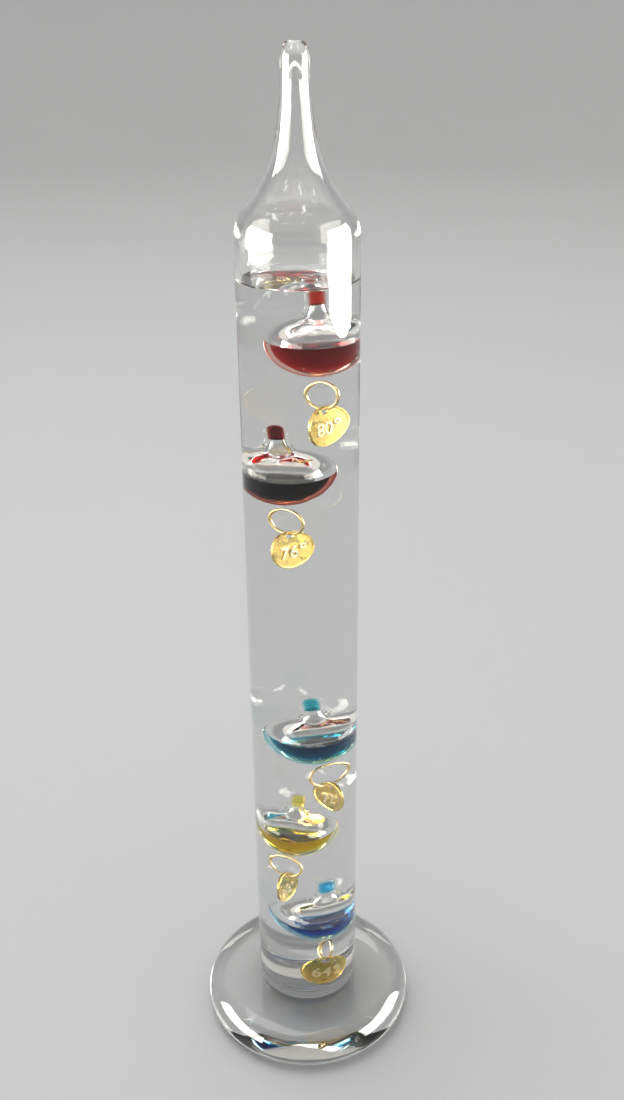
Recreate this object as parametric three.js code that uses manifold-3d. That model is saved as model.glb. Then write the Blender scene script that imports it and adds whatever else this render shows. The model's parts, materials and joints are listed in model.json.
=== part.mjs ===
// Galileo thermometer, 33 cm class. Millimetres, +Z up, the origin under the middle of the foot, front towards -Y.
// A sealed glass cylinder stands on a glass foot. Five glass floats hang in its clear liquid,
// each with a brass ring and a brass tag on a glass eye.
import * as THREE from "three";
import { mergeVertices } from "three/addons/utils/BufferGeometryUtils.js";
import Module from "manifold-3d";

const wasm = await Module();
wasm.setup();

// ---- Driving dimensions ----
const FOOT = { radius: 36.6, height: 13.5, lowEdge: 5.6, topEdge: 7.9 };
const BOND = { radius: 15.6, height: 0.4, gap: 0.05 };
const TUBE = { outer: 17.5, inner: 16.0, floor: 2.2, corner: 1.4, innerCorner: 3.2, shoulder: 278.7 };
const TOTAL = 329.0;
const FLUID = { level: 267.8, gap: 0.25 };
const NECK_BORE = 2.3;
const NECK_OPEN = 325.2;

// Bulb of a float, heights from its widest circle.
const BULB = { radius: 10.3, below: 9.4, above: 8.1, wall: 0.7, stem: 2.2, bore: 1.45, stemTop: 15.2, tip: 15.9 };
const EYE = { radius: 1.45, rod: 0.65, drop: 10.95 };
const RING = { radius: 4.0, wire: 0.4, sag: 0.3 };
const TAG = { radius: 6.15, thickness: 0.7, hole: 1.15, holeOffset: 4.6, sag: 0.6 };
const DYE = { gap: 0.15, stemLow: 11.2, stemHigh: 15.0 };
const SHAFT_GAP = 0.4; // liquid kept clear of the path of each float

// Each float: place of the bulb's centre, tilt of its stem towards -X in degrees, which way the ring and the tag
// face (degrees from -Y towards +X), how far they lean (degrees towards +X and towards -Y), its travel,
// and the level of its dye above the widest circle.
const GAP_TRAVEL = 45; // free height between the upper and the lower floats, less a little
const FLOATS = [
  { id: "80", at: [3.85, 3.0, 250.4], tilt: 2, ring: { face: -34, lean: [2, 0] }, tag: { face: 63, lean: [2, 0] },
    low: -GAP_TRAVEL, high: 0, level: 0.4, dye: 0x8c0f12 },
  { id: "76", at: [-3.6, 3.6, 210.9], tilt: 4, ring: { face: -44, lean: [3, 0] }, tag: { face: 47, lean: [2, 0] },
    low: -GAP_TRAVEL, high: 0, level: -0.3, dye: 0x2a120c },
  { id: "72", at: [2.7, 3.5, 117.8], tilt: 6, ring: { face: 36, lean: [6, 0] }, tag: { face: -54, lean: [4, 0] },
    low: 0, high: GAP_TRAVEL, level: 0.4, dye: 0x0b3a5c },
  { id: "68", at: [-3.0, -1.5, 82.1], tilt: -6, ring: { face: -34, lean: [-5, 0] }, tag: { face: 60, lean: [0, 0] },
    low: 0, high: GAP_TRAVEL, level: 0.0, dye: 0x9a8a10 },
  { id: "64", at: [3.7, 3.2, 41.9], tilt: 0, ring: { face: -62, lean: [2, 26] }, tag: { face: 8, lean: [4, 54] },
    low: 0, high: GAP_TRAVEL, level: -0.9, dye: 0x0a3f8c },
];

// ---- Helpers ----
const group = new THREE.Group();
group.name = "galileo_thermometer";
const DEG = Math.PI / 180;

function addPiece(name, geometry, color, opacity = 1) {
  const glassy = opacity < 1;
  const material = new THREE.MeshStandardMaterial({
    color,
    roughness: glassy ? 0.08 : 0.35,
    metalness: glassy ? 0 : 0.9,
    transparent: glassy,
    opacity,
  });
  const mesh = new THREE.Mesh(geometry, material);
  mesh.name = name;
  group.add(mesh);
  return mesh;
}

// A closed body turned about Z from a profile of [radius, height].
function turned(profile, segments) {
  const points = profile.map(([r, z]) => new THREE.Vector2(r, z));
  return new THREE.LatheGeometry(points, segments).rotateX(Math.PI / 2);
}

// Points of an ellipse arc from angle a to angle b (degrees) about (r, z).
function arc(r, z, halfWidth, halfHeight, a, b, steps) {
  const points = [];
  for (let i = 0; i <= steps; i++) {
    const t = (a + ((b - a) * i) / steps) * DEG;
    points.push([r + halfWidth * Math.cos(t), z + halfHeight * Math.sin(t)]);
  }
  return points;
}

// Three.js geometry to a solid for add and subtract, and back.
function solid(geometry) {
  const bare = geometry.clone();
  bare.deleteAttribute("normal");
  bare.deleteAttribute("uv");
  const merged = mergeVertices(bare, 1e-4);
  return new wasm.Manifold(
    new wasm.Mesh({
      numProp: 3,
      vertProperties: new Float32Array(merged.attributes.position.array),
      triVerts: new Uint32Array(merged.index.array),
    }),
  );
}

function geometryOf(body) {
  const mesh = body.getMesh();
  const geometry = new THREE.BufferGeometry();
  geometry.setAttribute("position", new THREE.BufferAttribute(new Float32Array(mesh.vertProperties), 3));
  geometry.setIndex(new THREE.BufferAttribute(new Uint32Array(mesh.triVerts), 1));
  geometry.computeVertexNormals();
  return geometry;
}

// Frame of a hanging piece: Z runs up along it, Y is its face's normal, X lies in its plane.
function hangingFrame(origin, face, lean) {
  const up = new THREE.Vector3(-Math.tan(lean[0] * DEG), Math.tan(lean[1] * DEG), 1).normalize();
  const normal = new THREE.Vector3(Math.sin(face * DEG), -Math.cos(face * DEG), 0);
  normal.addScaledVector(up, -normal.dot(up)).normalize();
  const side = new THREE.Vector3().crossVectors(normal, up);
  return new THREE.Matrix4().makeBasis(side, normal, up).setPosition(origin);
}

// ---- Foot: a thick clear disc, low edge tighter than the top edge ----
const foot = [
  [0, 0],
  ...arc(FOOT.radius - FOOT.lowEdge, FOOT.lowEdge, FOOT.lowEdge, FOOT.lowEdge, -90, 0, 6),
  ...arc(FOOT.radius - FOOT.topEdge, FOOT.lowEdge, FOOT.topEdge, FOOT.height - FOOT.lowEdge, 0, 90, 8).slice(1),
  [0, FOOT.height],
];
addPiece("glass_foot", turned(foot, 48), 0xdfe8e6, 0.35);

// ---- Clear bond between foot and cylinder ----
const bondLow = FOOT.height + BOND.gap;
const bondHigh = bondLow + BOND.height;
const bond = [[0, bondLow], [BOND.radius, bondLow], [BOND.radius, bondHigh], [0, bondHigh]];
addPiece("foot_bond", turned(bond, 36), 0xf2efdf, 0.5);

// ---- Glass cylinder: closed floor, round shoulder, drawn neck left open at the top ----
const tubeLow = bondHigh + BOND.gap;
const floorTop = tubeLow + TUBE.floor;
const neckOuter = [
  [TUBE.outer, TUBE.shoulder], [17.33, 281.4], [16.67, 284.1], [15.06, 286.7], [12.9, 289.3], [10.95, 291.9],
  [9.35, 294.5], [8.05, 297.1], [7.05, 299.7], [6.25, 302.3], [5.65, 304.9], [5.2, 307.4], [4.8, 310.0],
  [4.45, 312.8], [4.2, 315.8], [4.0, 320.0], [3.92, NECK_OPEN],
];
const neckInner = [
  [NECK_BORE, NECK_OPEN], [NECK_BORE, 318.0], [2.6, 312.0], [3.3, 306.5], [4.3, 301.9], [5.6, 297.8],
  [7.2, 294.4], [9.3, 290.9], [11.4, 287.8], [13.5, 285.0], [15.0, 282.4], [15.75, 280.2], [TUBE.inner, 277.6],
];
const tube = [
  [0, tubeLow],
  ...arc(TUBE.outer - TUBE.corner, tubeLow + TUBE.corner, TUBE.corner, TUBE.corner, -90, 0, 4),
  ...neckOuter,
  ...neckInner,
  ...arc(TUBE.inner - TUBE.innerCorner, floorTop + TUBE.innerCorner, TUBE.innerCorner, TUBE.innerCorner, 0, -90, 4),
  [0, floorTop],
];
addPiece("glass_cylinder", turned(tube, 40), 0xe8efee, 0.25);

// ---- Fused tip that closes the neck ----
const sealLow = NECK_OPEN + 0.05;
const seal = [
  [0, sealLow - 3.2], [NECK_BORE - 0.3, sealLow - 3.2], [NECK_BORE - 0.3, sealLow],
  [3.9, sealLow], [3.72, 326.2], [3.35, 327.2], [2.95, 328.1], [2.3, 328.75], [1.2, 328.97], [0, TOTAL],
];
addPiece("neck_seal", turned(seal, 16), 0xe8efee, 0.45);

// ---- Floats ----
// Outer skin of a bulb from the bottom to the open end of the stem, then the cavity back down to the bottom.
const bulbOuter = [
  ...arc(0, 0, BULB.radius, BULB.below, -90, 0, 7),
  ...arc(0, 0, BULB.radius, BULB.above, 0, 66, 4).slice(1),
  [3.25, 8.35], [2.65, 9.5], [2.3, 10.8], [BULB.stem, 12.0], [BULB.stem, BULB.stemTop],
];
const bulbInner = [
  [BULB.bore, BULB.stemTop], [BULB.bore, 10.6], [1.85, 9.2], [2.7, 7.9],
  ...arc(0, 0, BULB.radius - BULB.wall, BULB.above - BULB.wall, 68, 0, 4),
  ...arc(0, 0, BULB.radius - BULB.wall, BULB.below - BULB.wall, 0, -90, 6).slice(1),
];
const stemSeal = [
  [0, BULB.stemTop + 0.05], [BULB.stem, BULB.stemTop + 0.05], [2.0, 15.55], [1.3, 15.82], [0, BULB.tip],
];
const stemDye = [
  [0, DYE.stemLow], [BULB.bore - DYE.gap, DYE.stemLow], [BULB.bore - DYE.gap, DYE.stemHigh], [0, DYE.stemHigh],
];
const dyeWidth = BULB.radius - BULB.wall - DYE.gap;
const dyeDepth = BULB.below - BULB.wall - DYE.gap;

// A tag: round disc in the XZ plane with its hole above the middle.
function tagGeometry() {
  const outline = new THREE.Shape().absarc(0, 0, TAG.radius, 0, 2 * Math.PI, false);
  outline.holes.push(new THREE.Path().absarc(0, TAG.holeOffset, TAG.hole, 0, 2 * Math.PI, true));
  const disc = new THREE.ExtrudeGeometry(outline, { depth: TAG.thickness, bevelEnabled: false, curveSegments: 12 });
  return disc.translate(0, 0, -TAG.thickness / 2).rotateX(Math.PI / 2);
}

let shafts = null; // the room the floats need in the liquid

for (const f of FLOATS) {
  const name = (part) => `${part}_${f.id}`;
  const place = new THREE.Matrix4().makeRotationY(-f.tilt * DEG).setPosition(...f.at);

  // The ring's wire passes through the glass eye, so the eye stands across the ring.
  const eyeTurn = new THREE.Matrix4().makeRotationZ((f.ring.face + 90) * DEG);
  const eye = new THREE.TorusGeometry(EYE.radius, EYE.rod, 6, 12).rotateX(Math.PI / 2);
  eye.applyMatrix4(eyeTurn).translate(0, 0, -EYE.drop);
  const bulb = solid(turned([...bulbOuter, ...bulbInner], 22)).add(solid(eye));
  addPiece(name("bulb"), geometryOf(bulb).applyMatrix4(place), 0xe6eeee, 0.3);
  addPiece(name("stem_seal"), turned(stemSeal, 14).applyMatrix4(place), 0xe6eeee, 0.45);
  addPiece(name("stem_dye"), turned(stemDye, 14).applyMatrix4(place), f.dye, 0.9);

  // The dye fills the bowl up to a level surface, however the bulb is tilted.
  const bowl = turned(arc(0, 0, dyeWidth, dyeDepth, -90, 90, 12), 22).applyMatrix4(place);
  const above = new THREE.BoxGeometry(40, 40, 30).translate(f.at[0], f.at[1], f.at[2] + f.level + 15);
  addPiece(name("dye"), geometryOf(solid(bowl).subtract(solid(above))), f.dye, 0.9);

  // Ring hung in the eye, tag hung on the ring.
  const eyeAt = new THREE.Vector3(0, 0, -EYE.drop - RING.sag).applyMatrix4(place);
  const ringFrame = hangingFrame(eyeAt, f.ring.face, f.ring.lean);
  const ring = new THREE.TorusGeometry(RING.radius, RING.wire, 6, 22).rotateX(Math.PI / 2);
  addPiece(name("ring"), ring.translate(0, 0, -RING.radius).applyMatrix4(ringFrame), 0xd9b95a);
  const wireAt = new THREE.Vector3(0, 0, -2 * RING.radius).applyMatrix4(ringFrame);
  const tagFrame = hangingFrame(wireAt, f.tag.face, f.tag.lean);
  const tag = tagGeometry().translate(0, 0, -TAG.holeOffset - TAG.sag);
  addPiece(name("tag"), tag.applyMatrix4(tagFrame), 0xe0c465);

  // Path of this float: upright shafts round its bulb and its tag, from its lowest tag to its highest stem.
  const low = Math.max(f.at[2] - 32 + f.low, floorTop + 0.1);
  const high = f.at[2] + BULB.tip + 1 + f.high;
  const tagAt = new THREE.Vector3(0, 0, -TAG.holeOffset - TAG.sag).applyMatrix4(tagFrame);
  for (const [x, y, r] of [[f.at[0], f.at[1], BULB.radius], [tagAt.x, tagAt.y, TAG.radius + 0.6]]) {
    const reach = r + SHAFT_GAP;
    const shaft = turned([[0, low], [reach, low], [reach, high], [0, high]], 32).translate(x, y, 0);
    shafts = shafts ? shafts.add(solid(shaft)) : solid(shaft);
  }
}

// ---- Clear liquid: the column outside the path of the floats ----
const fluidRadius = TUBE.inner - FLUID.gap;
const fluidLow = floorTop + FLUID.gap;
const column = [
  [0, fluidLow],
  ...arc(fluidRadius - TUBE.innerCorner, fluidLow + TUBE.innerCorner, TUBE.innerCorner, TUBE.innerCorner, -90, 0, 4),
  [fluidRadius, FLUID.level],
  [0, FLUID.level],
];
addPiece("fluid", geometryOf(solid(turned(column, 40)).subtract(shafts)), 0xf4f7f7, 0.15);

export default group;
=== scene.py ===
import json
import math

import bpy
from mathutils import Matrix, Vector


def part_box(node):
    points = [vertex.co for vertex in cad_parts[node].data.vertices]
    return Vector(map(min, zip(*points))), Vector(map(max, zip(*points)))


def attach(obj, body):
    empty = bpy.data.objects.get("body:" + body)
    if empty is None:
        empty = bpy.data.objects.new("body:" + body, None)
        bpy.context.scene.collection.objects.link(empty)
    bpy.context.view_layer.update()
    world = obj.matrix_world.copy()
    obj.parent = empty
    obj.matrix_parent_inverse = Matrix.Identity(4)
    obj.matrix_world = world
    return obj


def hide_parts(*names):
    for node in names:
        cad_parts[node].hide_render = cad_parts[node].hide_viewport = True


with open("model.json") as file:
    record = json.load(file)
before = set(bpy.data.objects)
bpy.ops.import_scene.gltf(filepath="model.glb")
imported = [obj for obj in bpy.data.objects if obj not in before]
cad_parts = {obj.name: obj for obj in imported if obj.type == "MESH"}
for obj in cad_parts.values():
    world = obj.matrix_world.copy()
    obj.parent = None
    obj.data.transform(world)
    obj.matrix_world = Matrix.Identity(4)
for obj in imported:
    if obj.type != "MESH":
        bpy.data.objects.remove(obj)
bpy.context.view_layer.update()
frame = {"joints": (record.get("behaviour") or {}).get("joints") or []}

joints = {joint["name"]: joint for joint in frame["joints"]}
MM = 0.001  # lengths below are in millimetres unless a name ends in _m

# ---------------------------------------------------------------------------
# Studio: a plain pale table that curves up into a wall all round, a soft light
# from above and two tall strip lights beside the glass, and the camera, which
# looks down on the instrument from a little above its tip.
# ---------------------------------------------------------------------------


def box_mm(node):
    """Lowest and highest corner of a frame node, in millimetres."""
    low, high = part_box(node)
    return low / MM, high / MM


def arc(centre, radii, start, end, steps):
    """Points (outward, up) along an elliptical arc, from start to end degrees."""
    angles = [math.radians(start + (end - start) * i / steps) for i in range(steps + 1)]
    return [
        (centre[0] + radii[0] * math.cos(a), centre[1] + radii[1] * math.sin(a))
        for a in angles
    ]


def only(piece):
    """Makes piece the one selected, active object."""
    bpy.ops.object.select_all(action="DESELECT")
    piece.select_set(True)
    bpy.context.view_layer.objects.active = piece


def turned(name, outline, steps, inward=False):
    """A body of revolution: an edge drawn point by point from a single vertex, spun round Z."""
    bpy.ops.object.select_all(action="DESELECT")
    bpy.ops.mesh.primitive_plane_add(size=1)
    piece = bpy.context.object
    piece.name = piece.data.name = name
    bpy.ops.object.mode_set(mode="EDIT")
    bpy.ops.mesh.select_mode(type="VERT")
    bpy.ops.mesh.select_all(action="SELECT")
    bpy.ops.mesh.merge(type="CENTER")
    bpy.ops.transform.translate(value=(outline[0][0], 0, outline[0][1]))
    for here, there in zip(outline, outline[1:]):
        step = (there[0] - here[0], 0, there[1] - here[1])
        bpy.ops.mesh.extrude_vertices_move(TRANSFORM_OT_translate={"value": step})
    bpy.ops.mesh.select_all(action="SELECT")
    bpy.ops.mesh.spin(steps=steps, angle=math.tau, center=(0, 0, 0), axis=(0, 0, 1))
    bpy.ops.mesh.select_all(action="SELECT")
    bpy.ops.mesh.remove_doubles(threshold=1e-4)
    bpy.ops.mesh.normals_make_consistent(inside=inward)
    bpy.ops.object.mode_set(mode="OBJECT")
    return piece


def joined(first, *others):
    """The pieces as one object that keeps first's name."""
    only(first)
    for other in others:
        other.select_set(True)
    bpy.ops.object.join()
    return first


def placed(piece, matrix=None, angle=40):
    """Puts a piece made in millimetres at its place in metres, smooth but for edges over angle."""
    piece.data.transform(matrix or Matrix.Identity(4))
    piece.data.transform(Matrix.Scale(MM, 4))
    only(piece)
    bpy.ops.object.shade_smooth_by_angle(angle=math.radians(angle))
    return piece


def material(name):
    """A new material with its Principled shader, and a helper that adds nodes to it."""
    made = bpy.data.materials.new(name)
    made.use_nodes = True
    tree = made.node_tree
    shader = tree.nodes["Principled BSDF"]

    def add(kind, **inputs):
        node = tree.nodes.new(kind)
        for socket, value in inputs.items():
            node.inputs[socket.replace("_", " ")].default_value = value
        return node

    return made, tree.links.new, shader, add


table_size_m, table_curve_m, wall_high_m = 2.4, 1.2, 2.6
table_colour = (0.58, 0.595, 0.615, 1)
table = turned(
    "table",
    [(0, 0), (table_size_m, 0)]
    + arc((table_size_m, table_curve_m), (table_curve_m, table_curve_m), -90, 0, 16)
    + [(table_size_m + table_curve_m, wall_high_m)],
    64,
    inward=True,
)
table_gap_m = 0.00004  # keeps the table's face and the foot's apart
table.data.transform(Matrix.Translation((0, 0, -table_gap_m)))
only(table)
bpy.ops.object.shade_smooth()
paper, link, shader, add = material("pale_paper")
where = add("ShaderNodeTexCoord")
fibre = add("ShaderNodeTexNoise", Scale=900.0, Detail=4.0)
cloud = add("ShaderNodeTexNoise", Scale=2.5, Detail=2.0)
tone = add("ShaderNodeMix", Factor=0.5)
tone.data_type = "RGBA"
tone.inputs["A"].default_value = table_colour
tone.inputs["B"].default_value = tuple(0.96 * c for c in table_colour[:3]) + (1,)
bump = add("ShaderNodeBump", Strength=0.15, Distance=0.0002)
link(where.outputs["Object"], fibre.inputs["Vector"])
link(where.outputs["Object"], cloud.inputs["Vector"])
link(cloud.outputs["Fac"], tone.inputs["Factor"])
link(tone.outputs["Result"], shader.inputs["Base Color"])
link(fibre.outputs["Fac"], bump.inputs["Height"])
link(bump.outputs["Normal"], shader.inputs["Normal"])
shader.inputs["Roughness"].default_value = 0.9
shader.inputs["Specular IOR Level"].default_value = 0.0
table.data.materials.append(paper)

world = bpy.data.worlds.new("studio")
world.use_nodes = True
sky = world.node_tree.nodes["Background"]
sky.inputs["Color"].default_value = (0.86, 0.83, 0.78, 1)
sky.inputs["Strength"].default_value = 1.15
bpy.context.scene.world = world


warm = (1, 0.95, 0.85)


def softbox(name, place_m, aim_m, size_m, power, lights_table):
    """A rectangular soft light. One that spares the table is seen only where it is mirrored."""
    data = bpy.data.lights.new(name, "AREA")
    data.shape, (data.size, data.size_y) = "RECTANGLE", size_m
    data.energy = power
    data.color = (1, 1, 1) if lights_table else warm
    if not lights_table:
        data.use_nodes = True
        tree = data.node_tree
        path = tree.nodes.new("ShaderNodeLightPath")
        direct, mirrored, shown = (tree.nodes.new("ShaderNodeMath") for _ in range(3))
        direct.operation, direct.inputs[1].default_value = "LESS_THAN", 0.5
        mirrored.operation, mirrored.inputs[1].default_value = "GREATER_THAN", 0.5
        shown.operation = "MULTIPLY"
        for start, end in (
            (path.outputs["Diffuse Depth"], direct.inputs[0]),
            (path.outputs["Glossy Depth"], mirrored.inputs[0]),
            (direct.outputs["Value"], shown.inputs[0]),
            (mirrored.outputs["Value"], shown.inputs[1]),
            (shown.outputs["Value"], tree.nodes["Emission"].inputs["Strength"]),
        ):
            tree.links.new(start, end)
    lamp = bpy.data.objects.new(name, data)
    bpy.context.scene.collection.objects.link(lamp)
    facing = Vector(aim_m) - Vector(place_m)
    lamp.matrix_world = Matrix.Translation(place_m) @ facing.to_track_quat(
        "-Z", "Y"
    ).to_matrix().to_4x4()
    lamp.visible_diffuse = lights_table
    lamp.visible_camera = False
    return lamp


softbox("overhead", (-0.35, 0.25, 1.7), (0, 0, 0.1), (1.1, 1.1), 11, True)
softbox("strip_right", (0.88, -0.11, 0.37), (0, -0.11, 0.37), (0.93, 0.67), 42, False)
softbox("strip_left", (-1.3, -0.45, 0.49), (0, -0.45, 0.49), (1.6, 0.86), 95, False)

camera_data = bpy.data.cameras.new("camera")
camera_data.sensor_fit, camera_data.sensor_height = "VERTICAL", 24
camera_data.lens = 25.235
camera_data.clip_start = 0.01
camera = bpy.data.objects.new("camera", camera_data)
bpy.context.scene.collection.objects.link(camera)
camera_right = Vector((0.99986, -0.01415, -0.00923))
camera_up = Vector((0.01443, 0.43132, 0.90208))
camera_ahead = Vector((0.00879, 0.90209, -0.43146))
camera.matrix_world = Matrix.Translation((0, -0.3223, 0.3388)) @ Matrix(
    (camera_right, camera_up, -camera_ahead)
).transposed().to_4x4()
bpy.context.scene.camera = camera
bpy.context.scene.view_settings.view_transform = "Standard"
cycles = bpy.context.scene.cycles
cycles.max_bounces = cycles.transmission_bounces = cycles.glossy_bounces = 160
cycles.transparent_max_bounces = 40

# ---------------------------------------------------------------------------
# Glass cylinder: borosilicate tube, rounded shut on a thick floor below and
# drawn out above into a long hollow tip that is melted shut. The liquid wets
# its inner wall up to the filling line, and above it the wall is dry.
# ---------------------------------------------------------------------------

GLASS_IOR = 1.5
LIQUID_IOR = 1.42
DYE_IOR = 1.36
spin_steps = 128


def smooth(points, per_span):
    """A curve through the points (Catmull-Rom), with per_span steps between two of them."""
    made = []
    last = len(points) - 1
    for i in range(last):
        a, b, c, d = (Vector(points[max(0, min(last, i + k))]) for k in (-1, 0, 1, 2))
        square, cube = 2 * a - 5 * b + 4 * c - d, 3 * b - a - 3 * c + d
        for step in range(per_span):
            t = step / per_span
            made.append(tuple(0.5 * (2 * b + (c - a) * t + square * t * t + cube * t**3)))
    return made + [tuple(points[-1])]


def glass_marks():
    """Node group: the slow waves of drawn glass as a height, and haze where it was handled."""
    group = bpy.data.node_groups.new("glass_marks", "ShaderNodeTree")
    face = group.interface
    face.new_socket("Stretch", in_out="INPUT", socket_type="NodeSocketVector")
    face.new_socket("Haze", in_out="INPUT", socket_type="NodeSocketFloat")
    face.new_socket("Height", in_out="OUTPUT", socket_type="NodeSocketFloat")
    face.new_socket("Roughness", in_out="OUTPUT", socket_type="NodeSocketFloat")
    face.new_socket("Tint", in_out="OUTPUT", socket_type="NodeSocketColor")
    new, wire = group.nodes.new, group.links.new
    start, end = new("NodeGroupInput"), new("NodeGroupOutput")
    coords, scaled = new("ShaderNodeTexCoord"), new("ShaderNodeVectorMath")
    scaled.operation = "MULTIPLY"
    wave, smear, fine = (new("ShaderNodeTexNoise") for _ in range(3))
    wave.inputs["Scale"].default_value = 1.0
    smear.inputs["Scale"].default_value, smear.inputs["Detail"].default_value = 70, 5
    fine.inputs["Scale"].default_value = 900
    wire(coords.outputs["Object"], scaled.inputs[0])
    wire(start.outputs["Stretch"], scaled.inputs[1])
    wire(scaled.outputs["Vector"], wave.inputs["Vector"])
    wire(coords.outputs["Object"], smear.inputs["Vector"])
    wire(coords.outputs["Object"], fine.inputs["Vector"])
    patch = new("ShaderNodeMapRange")
    patch.inputs["From Min"].default_value = 0.52
    patch.inputs["From Max"].default_value = 0.72
    haze = new("ShaderNodeMath")
    haze.operation = "MULTIPLY"
    wire(smear.outputs["Fac"], patch.inputs["Value"])
    wire(patch.outputs["Result"], haze.inputs[0])
    wire(start.outputs["Haze"], haze.inputs[1])
    tint = new("ShaderNodeMix")
    tint.data_type = "RGBA"
    tint.inputs["A"].default_value = (1, 1, 1, 1)
    tint.inputs["B"].default_value = (0.985, 0.992, 0.99, 1)
    wire(fine.outputs["Fac"], tint.inputs["Factor"])
    wire(wave.outputs["Fac"], end.inputs["Height"])
    wire(haze.outputs["Value"], end.inputs["Roughness"])
    wire(tint.outputs["Result"], end.inputs["Tint"])
    return group


marks = glass_marks()


def clear(name, ior, wave_m=0.0, stretch=(40, 40, 8), haze=0.0):
    """A clear solid or liquid: ior is the step across its face, wave_m the depth of its waves."""
    made, link, shader, add = material(name)
    shader.inputs["Transmission Weight"].default_value = 1
    shader.inputs["IOR"].default_value = ior
    handled = add("ShaderNodeGroup")
    handled.node_tree = marks
    handled.inputs["Stretch"].default_value = stretch
    handled.inputs["Haze"].default_value = haze
    link(handled.outputs["Tint"], shader.inputs["Base Color"])
    shader.inputs["Roughness"].default_value = 0.0
    if haze:
        link(handled.outputs["Roughness"], shader.inputs["Roughness"])
    if wave_m:
        bump = add("ShaderNodeBump", Strength=1.0, Distance=wave_m)
        link(handled.outputs["Height"], bump.inputs["Height"])
        link(bump.outputs["Normal"], shader.inputs["Normal"])
    return made


glass_outside = clear("drawn_glass", GLASS_IOR, 0.00012, (90, 90, 16), 0.04)
glass_dry = clear("dry_inner_glass", GLASS_IOR, 0.00012, (90, 90, 16))
glass_wet = clear("wetted_inner_glass", GLASS_IOR / LIQUID_IOR, 0.0001, (90, 90, 16))
contact, _, shader, _ = material("contact_face")  # two clear things touching: no step at all
shader.inputs["Transmission Weight"].default_value = 1
shader.inputs["IOR"].default_value = 1.0
shader.inputs["Roughness"].default_value = 0.0

tube_low, tube_high = box_mm("glass_cylinder")
seal_high = box_mm("neck_seal")[1]
tube_radius, tube_wall, tube_floor = tube_high.x, 1.5, 2.2
tube_corner, bore_corner = 1.4, 3.2
bore = tube_radius - tube_wall
floor_top = tube_low.z + tube_floor
level = box_mm("fluid")[1].z
meniscus, meniscus_wide = 1.1, 4  # how far the liquid climbs the wall, and over what width
shoulder = seal_high.z - 50.3
joint_radius = box_mm("foot_bond")[1].x

neck = smooth(
    [
        (tube_radius, shoulder),
        (tube_radius - 0.17, shoulder + 2.7),
        (tube_radius - 0.83, shoulder + 5.4),
        (tube_radius - 2.44, shoulder + 8),
        (12.9, shoulder + 10.6),
        (9.35, shoulder + 15.8),
        (7.05, shoulder + 21),
        (5.65, shoulder + 26.2),
        (4.8, shoulder + 31.3),
        (4.2, shoulder + 37.1),
        (3.95, shoulder + 43),
        (3.9, seal_high.z - 3.75),
        (3.72, seal_high.z - 2.8),
        (3.35, seal_high.z - 1.8),
        (2.95, seal_high.z - 0.9),
        (2.3, seal_high.z - 0.25),
        (1.2, seal_high.z - 0.03),
        (0, seal_high.z),
    ],
    4,
)
tube_outside = turned(
    "glass_tube",
    [(0, tube_low.z), (joint_radius, tube_low.z)]
    + arc(
        (tube_radius - tube_corner, tube_low.z + tube_corner),
        (tube_corner, tube_corner),
        -90,
        0,
        8,
    )
    + neck,
    spin_steps,
)
neck_bore = smooth(
    [
        (bore, shoulder - 1.1),
        (bore - 0.25, shoulder + 1.5),
        (bore - 1, shoulder + 3.7),
        (13.5, shoulder + 6.3),
        (11.4, shoulder + 9.1),
        (9.3, shoulder + 12.2),
        (7.2, shoulder + 15.7),
        (5.6, shoulder + 19.1),
        (4.3, shoulder + 23.2),
        (3.3, shoulder + 27.8),
        (2.6, shoulder + 33.3),
        (2.3, shoulder + 39.3),
        (1.95, shoulder + 41.6),
        (1.4, shoulder + 43.4),
        (0.7, shoulder + 44.7),
        (0, shoulder + 45.4),
    ],
    4,
)
tube_inside = turned(
    "glass_tube_bore",
    [(0, floor_top)]
    + arc((bore - bore_corner, floor_top + bore_corner), (bore_corner, bore_corner), -90, 0, 12)
    + [(bore, level + meniscus)]
    + neck_bore,
    spin_steps,
    inward=True,
)
glass_slots = [glass_outside, contact, glass_dry, glass_wet]
for shell in (tube_outside, tube_inside):
    for slot in glass_slots:
        shell.data.materials.append(slot)
hair = 0.01  # tells faces at one height from those above and below it
for face in tube_outside.data.polygons:
    under = face.center.z < tube_low.z + hair and face.center.xy.length < joint_radius
    face.material_index = 1 if under else 0
for face in tube_inside.data.polygons:
    face.material_index = 3 if face.center.z < level + meniscus else 2
tube = placed(joined(tube_outside, tube_inside))
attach(tube, "case")
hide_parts("glass_cylinder", "neck_seal")

# ---------------------------------------------------------------------------
# Clear liquid: a light oil that fills the cylinder to just over the top float
# and climbs its wall a little at the surface. Where it touches glass there is
# no surface of its own to see, so only its top has a step in bending light.
# ---------------------------------------------------------------------------

soak = 0.3  # the liquid runs this far into the glass, so no gap shows
liquid = turned(
    "liquid",
    [(0, floor_top - soak)]
    + arc(
        (bore - bore_corner, floor_top + bore_corner),
        (bore_corner + soak, bore_corner + soak),
        -90,
        0,
        12,
    )
    + [(bore + soak, level + meniscus), (bore, level + meniscus)]
    + [
        (bore - meniscus_wide * t, level + meniscus * (1 - t) ** 3)
        for t in (0.08, 0.18, 0.3, 0.45, 0.65, 0.85, 1)
    ]
    + [(0, level)],
    spin_steps,
)
liquid_top = clear("liquid_surface", LIQUID_IOR, 0.00004, (60, 60, 60))
liquid.data.materials.append(contact)
liquid.data.materials.append(liquid_top)
for face in liquid.data.polygons:
    on_top = face.center.z > level - hair and face.center.xy.length < bore - hair
    face.material_index = 1 if on_top else 0
placed(liquid)
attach(liquid, "case")
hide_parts("fluid")

# ---------------------------------------------------------------------------
# Foot: a heavy cast-glass disc with a flat top and a deep rounded rim, flame
# polished. A film of clear adhesive under the cylinder fixes the two, so the
# glass reads as one from the foot into the tube.
# ---------------------------------------------------------------------------

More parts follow.
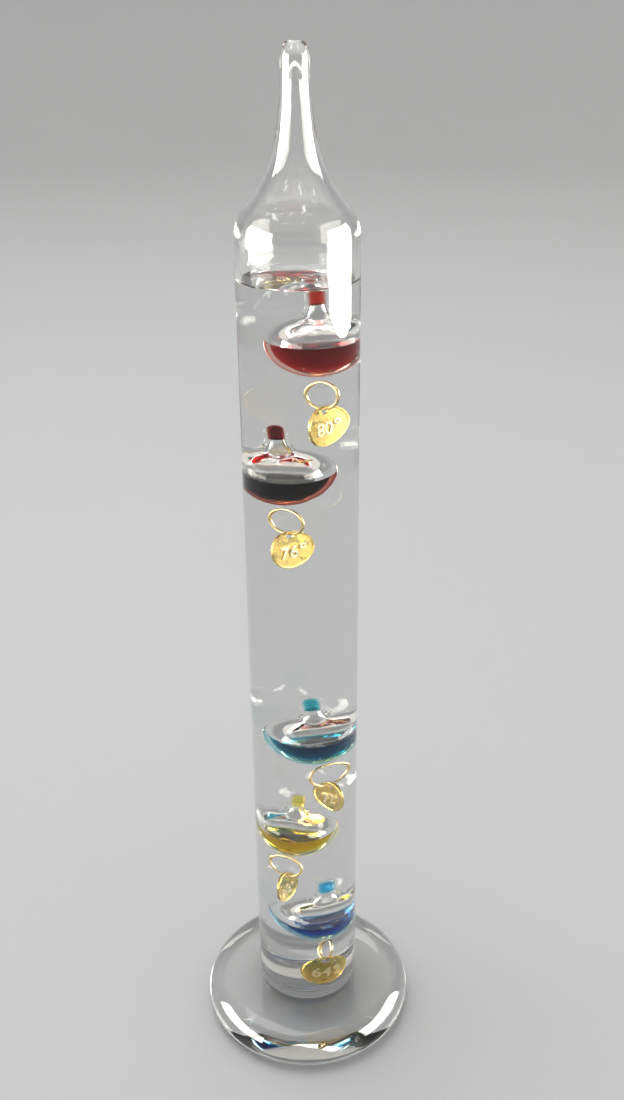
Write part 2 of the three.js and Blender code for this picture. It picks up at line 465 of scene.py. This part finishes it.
foot_high = box_mm("glass_foot")[1]
foot_radius, foot_widest = foot_high.x, 5.6
rim_low, rim_top = (5.6, foot_widest), (8.5, foot_high.z - foot_widest)
foot = turned(
    "foot",
    [(0, 0), (foot_radius - rim_low[0], 0)]
    + arc((foot_radius - rim_low[0], foot_widest), rim_low, -90, 0, 16)[1:]
    + arc((foot_radius - rim_top[0], foot_widest), rim_top, 0, 90, 20)[1:]
    + [(joint_radius, foot_high.z), (0, foot_high.z)],
    spin_steps,
)
cast_glass = clear("cast_glass", GLASS_IOR, 0.0002, (55, 55, 70), 0.05)
foot.data.materials.append(cast_glass)
foot.data.materials.append(contact)
for face in foot.data.polygons:
    top = face.center.z > foot_high.z - hair and face.center.xy.length < joint_radius
    face.material_index = 1 if top else 0
placed(foot)
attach(foot, "case")
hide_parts("glass_foot")

keyed = 0.05  # the adhesive runs this far into the foot and the tube, so no gap shows
bond_low, bond_high = foot_high.z - keyed, tube_low.z + keyed
bond = turned(
    "adhesive",
    [(0, bond_low), (joint_radius - 0.1, bond_low)]
    + arc(
        (joint_radius + 0.25, (bond_low + bond_high) / 2),
        (0.35, (bond_high - bond_low) / 2),
        270,
        90,
        8,
    )[1:-1]
    + [(joint_radius - 0.1, bond_high), (0, bond_high)],
    spin_steps,
)
adhesive = clear("clear_adhesive", GLASS_IOR, 0.0002, (300, 300, 300), 0.1)
bond.data.materials.append(contact)
bond.data.materials.append(adhesive)
for face in bond.data.polygons:
    face.material_index = 0 if abs(face.normal.z) > 0.99 else 1
placed(bond)
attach(bond, "case")
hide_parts("foot_bond")

# ---------------------------------------------------------------------------
# Floats: blown bulbs, a little wider than they are high, drawn up to a small
# stem that is melted shut, with a loop of glass fused under them. One is blown
# here, with the loop's hole along X, and each float is a copy of it.
# ---------------------------------------------------------------------------

bulb_radius, bulb_below, bulb_above, bulb_wall = 10.3, 9.4, 8.1, 0.7
stem_radius, stem_bore = 2.2, 1.45
stem_low, bore_round, stem_round, bore_tip, stem_tip = 12.0, 14.2, 14.4, 15.2, 15.9
loop_radius, loop_rod, loop_drop = 1.45, 0.65, 10.95
hang_drop = loop_drop + 0.3  # the ring's wire lies this far under the bulb's middle
bulb_outline = (
    arc((0, 0), (bulb_radius, bulb_below), -90, 0, 28)
    + arc((0, 0), (bulb_radius, bulb_above), 0, 62, 22)[1:]
    + smooth(
        [
            (3.9, 7.65),
            (3.15, 8.5),
            (2.62, 9.6),
            (2.3, 10.8),
            (stem_radius, stem_low),
            (stem_radius + 0.06, stem_round),
        ],
        4,
    )
    + arc((0, stem_round), (stem_radius + 0.06, stem_tip - stem_round), 0, 90, 10)[1:]
)
cavity_radius = bulb_radius - bulb_wall


def cavity(grown):
    """Outline of the hollow inside a bulb and its stem, larger by grown all round."""
    throat = [(2.9, 7.35), (2.2, 8.4), (1.7, 9.7), (stem_bore, 11.2), (stem_bore, bore_round)]
    return (
        arc((0, 0), (cavity_radius + grown, bulb_below - bulb_wall + grown), -90, 0, 28)
        + arc((0, 0), (cavity_radius + grown, bulb_above - bulb_wall + grown), 0, 66, 22)[1:]
        + smooth([(radius + grown, height) for radius, height in throat], 4)
        + arc((0, bore_round), (stem_bore + grown, bore_tip - bore_round + grown), 0, 90, 8)[1:]
    )


float_steps = 80
blown = turned("blown_bulb", bulb_outline, float_steps)
bpy.ops.mesh.primitive_torus_add(
    major_radius=loop_radius,
    minor_radius=loop_rod,
    major_segments=40,
    minor_segments=20,
    location=(0, 0, -loop_drop),
    rotation=(0, math.pi / 2, 0),
)
loop = bpy.context.object
only(blown)
fuse = blown.modifiers.new("fuse", "BOOLEAN")
fuse.operation, fuse.object, fuse.solver = "UNION", loop, "EXACT"
bpy.ops.object.modifier_apply(modifier="fuse")
bpy.data.objects.remove(loop)
hollow = turned("bulb_hollow", cavity(0), float_steps, inward=True)

bulb_outside = clear("bulb_glass_in_liquid", GLASS_IOR / LIQUID_IOR, 0.0002, (150, 150, 150))
bulb_dry = clear("bulb_dry_inside", GLASS_IOR, 0.0003, (150, 150, 150))
bulb_wet = clear("bulb_wetted_inside", GLASS_IOR / DYE_IOR)
for shell, slot in ((blown, 0), (hollow, 1)):
    shell.data.materials.clear()
    for skin in (bulb_outside, bulb_dry, bulb_wet):
        shell.data.materials.append(skin)
    for face in shell.data.polygons:
        face.material_index = slot
master_bulb = joined(blown, hollow)
master_dye = turned("dye_shape", cavity(0.1), float_steps)


def select_faces(piece, wanted):
    """Edit mode with only the faces that wanted(face) picks selected."""
    only(piece)
    bpy.ops.object.mode_set(mode="EDIT")
    bpy.ops.mesh.select_mode(type="FACE")
    bpy.ops.mesh.select_all(action="DESELECT")
    bpy.ops.object.mode_set(mode="OBJECT")
    for face in piece.data.polygons:
        face.select = wanted(face)
    bpy.ops.object.mode_set(mode="EDIT")


def cut(piece, height, above=False, below=False):
    """Cuts piece at a height, and closes it where the part above or below goes."""
    select_faces(piece, lambda face: True)
    bpy.ops.mesh.bisect(
        plane_co=(0, 0, height),
        plane_no=(0, 0, 1),
        use_fill=True,
        clear_outer=above,
        clear_inner=below,
    )
    bpy.ops.object.mode_set(mode="OBJECT")


def copy_of(master, name, matrix=None):
    """A copy of master with a mesh of its own."""
    made = bpy.data.objects.new(name, master.data.copy())
    made.data.name = name
    bpy.context.scene.collection.objects.link(made)
    if matrix:
        made.data.transform(matrix)
    return made


def dye_body(name, colour, density):
    """Dyed spirit: it soaks up light on its way through, and its faces on glass don't show."""
    made, link, shader, add = material(name)
    shader.inputs["Transmission Weight"].default_value = 1
    shader.inputs["IOR"].default_value = 1.0
    handled = add("ShaderNodeGroup")
    handled.node_tree = marks
    handled.inputs["Stretch"].default_value = (30, 30, 30)
    link(handled.outputs["Tint"], shader.inputs["Base Color"])
    shader.inputs["Roughness"].default_value = 0.0
    soaked = add("ShaderNodeVolumeAbsorption")
    soaked.inputs["Color"].default_value = colour + (1,)
    soaked.inputs["Density"].default_value = density
    link(soaked.outputs["Volume"], made.node_tree.nodes["Material Output"].inputs["Volume"])
    return made


dye_surface = clear("dye_surface", DYE_IOR)


def dye_shape(name, body, matrix=None):
    """A copy of the dye's shape, with slots for the dye, its open face and its faces on glass."""
    made = copy_of(master_dye, name, matrix)
    made.data.materials.clear()
    for slot in (body, dye_surface, contact):
        made.data.materials.append(slot)
    return made


FLOATS = {
    "80": {"colour": (0.92, 0.22, 0.05), "density": 1300},
    "76": {"colour": (0.80, 0.24, 0.06), "density": 3800},
    "72": {"colour": (0.0, 0.80, 0.86), "density": 1100},
    "68": {"colour": (0.95, 0.88, 0.02), "density": 600},
    "64": {"colour": (0.0, 0.74, 0.92), "density": 1000},
}
film = 0.03  # thickness of the dye's clear top layer, which carries its surface
film_gap = 0.01  # keeps that layer off the dye under it
stem_dye_low = 11.3


def basis(side, normal, up, origin):
    """The matrix that puts X along side, Y along normal and Z along up, at origin."""
    made = Matrix((side, normal, up)).transposed().to_4x4()
    return Matrix.Translation(origin) @ made


for label, look in FLOATS.items():
    swing = joints["ring_swing_" + label]
    hang = Vector(swing["pos_m"]) / MM
    bulb_low, bulb_high = box_mm("bulb_" + label)
    lean = ((bulb_low.x + bulb_high.x) / 2 - hang.x) / hang_drop
    up = Vector((lean, 0, math.sqrt(1 - lean * lean)))
    across = Vector(swing["axis"])
    across = (across - across.dot(up) * up).normalized()
    stand = basis(across, up.cross(across), up, hang + hang_drop * up)
    upright = stand.inverted()

    dye_level = box_mm("dye_" + label)[1].z

    bulb = copy_of(master_bulb, "float_glass_" + label, stand)
    select_faces(bulb, lambda face: face.material_index == 1)
    bpy.ops.mesh.bisect(plane_co=(0, 0, dye_level), plane_no=(0, 0, 1))
    bpy.ops.object.mode_set(mode="OBJECT")
    for face in bulb.data.polygons:
        if face.material_index == 1:
            in_stem = (upright @ face.center).z > stem_dye_low
            face.material_index = 2 if in_stem or face.center.z < dye_level else 1
    placed(bulb)
    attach(bulb, "float_" + label)
    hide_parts("bulb_" + label, "stem_seal_" + label)

    body = dye_body("dye_" + label + "_colour", look["colour"], look["density"])
    pool = dye_shape("dye_pool_" + label, body, stand)
    cut(pool, dye_level, above=True)
    skin = dye_shape("dye_skin_" + label, body, stand)
    cut(skin, dye_level + film + film_gap, above=True)
    cut(skin, dye_level + film_gap, below=True)
    for face in skin.data.polygons:
        open_face = face.normal.z > 0.9 and face.center.z > dye_level + film
        face.material_index = 1 if open_face else 2
    pool = placed(joined(pool, skin))
    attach(pool, "float_" + label)
    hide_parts("dye_" + label)

    drop = dye_shape("stem_dye_drop_" + label, body)
    cut(drop, stem_dye_low, below=True)
    drop_skin = dye_shape("stem_dye_skin_" + label, body)
    cut(drop_skin, stem_dye_low - film_gap, above=True)
    cut(drop_skin, stem_dye_low - film_gap - film, below=True)
    for face in drop_skin.data.polygons:
        open_face = face.normal.z < -0.9 and face.center.z < stem_dye_low - film
        face.material_index = 1 if open_face else 2
    drop = placed(joined(drop, drop_skin), stand)
    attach(drop, "float_" + label)
    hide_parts("stem_dye_" + label)

for master in (master_bulb, master_dye):
    bpy.data.objects.remove(master)

# ---------------------------------------------------------------------------
# Rings and tags: a ring of round brass wire, its ends butted, hangs in each
# loop and carries a blanked brass disc with a rolled rim, a punched hole and
# the float's own temperature raised on its face, in a lighter brass that is
# a painted highlight.

ring_radius, wire_radius, butt_gap = 4.0, 0.4, 0.15
tag_radius, tag_thick, tag_hole, tag_hole_up = 6.15, 0.7, 1.15, 4.6
rim_wide, rim_proud = 0.45, 0.1


def brass_marks():
    """Node group: brass that has lain in oil, with mottled colour, worn shine and a fine grain."""
    group = bpy.data.node_groups.new("brass_marks", "ShaderNodeTree")
    face = group.interface
    face.new_socket("Bright", in_out="INPUT", socket_type="NodeSocketColor")
    face.new_socket("Dull", in_out="INPUT", socket_type="NodeSocketColor")
    face.new_socket("Scale", in_out="INPUT", socket_type="NodeSocketFloat")
    face.new_socket("Color", in_out="OUTPUT", socket_type="NodeSocketColor")
    face.new_socket("Roughness", in_out="OUTPUT", socket_type="NodeSocketFloat")
    face.new_socket("Height", in_out="OUTPUT", socket_type="NodeSocketFloat")
    new, wire = group.nodes.new, group.links.new
    start, end = new("NodeGroupInput"), new("NodeGroupOutput")
    coords = new("ShaderNodeTexCoord")
    mottle, grain = new("ShaderNodeTexNoise"), new("ShaderNodeTexVoronoi")
    mottle.inputs["Detail"].default_value = 5
    wire(start.outputs["Scale"], mottle.inputs["Scale"])
    grain.inputs["Scale"].default_value = 2600
    wire(coords.outputs["Object"], mottle.inputs["Vector"])
    wire(coords.outputs["Object"], grain.inputs["Vector"])
    spread = new("ShaderNodeMapRange")
    spread.inputs["From Min"].default_value = 0.35
    spread.inputs["From Max"].default_value = 0.65
    wire(mottle.outputs["Fac"], spread.inputs["Value"])
    tone = new("ShaderNodeMix")
    tone.data_type = "RGBA"
    wire(spread.outputs["Result"], tone.inputs["Factor"])
    wire(start.outputs["Bright"], tone.inputs["A"])
    wire(start.outputs["Dull"], tone.inputs["B"])
    rough = new("ShaderNodeMapRange")
    rough.inputs["To Min"].default_value = 0.22
    rough.inputs["To Max"].default_value = 0.42
    wire(spread.outputs["Result"], rough.inputs["Value"])
    wire(tone.outputs["Result"], end.inputs["Color"])
    wire(rough.outputs["Result"], end.inputs["Roughness"])
    wire(grain.outputs["Distance"], end.inputs["Height"])
    return group


brass_group = brass_marks()


def brass(name, bright, dull, scale, depth_m):
    """Brass of a given brightness, with pits depth_m deep."""
    made, link, shader, add = material(name)
    marked = add("ShaderNodeGroup")
    marked.node_tree = brass_group
    marked.inputs["Bright"].default_value = bright + (1,)
    marked.inputs["Dull"].default_value = dull + (1,)
    marked.inputs["Scale"].default_value = scale
    bump = add("ShaderNodeBump", Strength=0.6, Distance=depth_m)
    shader.inputs["Metallic"].default_value = 1
    link(marked.outputs["Color"], shader.inputs["Base Color"])
    link(marked.outputs["Roughness"], shader.inputs["Roughness"])
    link(marked.outputs["Height"], bump.inputs["Height"])
    link(bump.outputs["Normal"], shader.inputs["Normal"])
    return made


wire_brass = brass("wire_brass", (0.86, 0.70, 0.38), (0.70, 0.53, 0.25), 300, 0.00001)
tag_brass = brass("tag_brass", (0.74, 0.57, 0.19), (0.50, 0.36, 0.10), 420, 0.00003)
# The numerals' brass is a lighter copy of the tag's brass: a painted highlight for the light that
# their raised faces catch.
numerals_painted_highlight_brass = brass("numerals_painted_highlight_brass", (1.0, 0.93, 0.66), (0.95, 0.82, 0.48), 420, 0.00001)

bpy.ops.object.select_all(action="DESELECT")
bpy.ops.mesh.primitive_circle_add(vertices=20, radius=wire_radius, location=(ring_radius, 0, 0))
master_ring = bpy.context.object
bpy.ops.object.transform_apply(location=True)
bpy.ops.object.mode_set(mode="EDIT")
bpy.ops.mesh.select_mode(type="VERT")
bpy.ops.mesh.select_all(action="SELECT")
gap_angle = butt_gap / ring_radius
bpy.ops.mesh.spin(steps=96, angle=math.tau - gap_angle, center=(0, 0, 0), axis=(0, 1, 0))
bpy.ops.mesh.select_all(action="SELECT")
bpy.ops.mesh.fill_holes(sides=0)
bpy.ops.mesh.select_all(action="SELECT")
bpy.ops.mesh.normals_make_consistent(inside=False)
bpy.ops.object.mode_set(mode="OBJECT")
master_ring.data.materials.append(wire_brass)

half = tag_thick / 2
rim_in = tag_radius - rim_wide
disc_top = [
    (0, half - rim_proud),
    (rim_in - 0.15, half - rim_proud),
    (rim_in, half - 0.02),
    (rim_in + 0.1, half),
    (tag_radius - 0.12, half),
    (tag_radius - 0.03, half - 0.06),
    (tag_radius, half - 0.16),
]
master_tag = turned(
    "tag_blank", disc_top + [(r, -z) for r, z in reversed(disc_top)], 96
)
bpy.ops.mesh.primitive_cylinder_add(
    vertices=40, radius=tag_hole, depth=3, location=(0, tag_hole_up, 0)
)
punch = bpy.context.object
only(master_tag)
holed = master_tag.modifiers.new("hole", "BOOLEAN")
holed.operation, holed.object, holed.solver = "DIFFERENCE", punch, "EXACT"
bpy.ops.object.modifier_apply(modifier="hole")
bpy.data.objects.remove(punch)
master_tag.data.materials.clear()
master_tag.data.materials.append(tag_brass)
master_tag.data.materials.append(numerals_painted_highlight_brass)
number_high, number_proud, number_aside, number_down = 5.6, 0.22, 0.35, 1.0
tag_edge_angle = 12  # edges on a tag sharper than this stay sharp, since its faces are flat

for label in FLOATS:
    ring_joint, tag_joint = joints["ring_swing_" + label], joints["tag_swing_" + label]
    eye, wire_at = Vector(ring_joint["pos_m"]) / MM, Vector(tag_joint["pos_m"]) / MM
    up = (eye - wire_at).normalized()
    side = Vector(ring_joint["axis"])
    ring = copy_of(master_ring, "wire_ring_" + label)
    placed(ring, basis(side, up.cross(side), up, eye - ring_radius * up), 50)
    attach(ring, "ring_" + label)
    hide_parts("ring_" + label)

    low, high = box_mm("tag_" + label)
    middle = (low + high) / 2
    up = (wire_at - middle).normalized()
    face_out = Vector(tag_joint["axis"])
    side = up.cross(face_out)
    tag = copy_of(master_tag, "number_tag_" + label)
    bpy.ops.object.text_add()
    number = bpy.context.object
    number.data.body = label + "\N{DEGREE SIGN}"
    number.data.align_x, number.data.align_y = "CENTER", "CENTER"
    number.data.size = number_high
    number.data.offset = 0.03
    number.data.extrude = number_proud
    number.data.bevel_depth, number.data.bevel_resolution = 0.06, 1
    only(number)
    bpy.ops.object.convert(target="MESH")
    number.data.transform(
        Matrix.Translation((number_aside, -number_down, half - rim_proud))
    )
    number.data.materials.clear()
    number.data.materials.append(tag_brass)
    number.data.materials.append(numerals_painted_highlight_brass)
    # The raised numerals take the lighter brass, which is a painted highlight.
    for face in number.data.polygons:
        face.material_index = 1
    tag = joined(tag, number)
    placed(tag, basis(side, up, face_out, middle), tag_edge_angle)
    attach(tag, "tag_" + label)
    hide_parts("tag_" + label)

for master in (master_ring, master_tag):
    bpy.data.objects.remove(master)
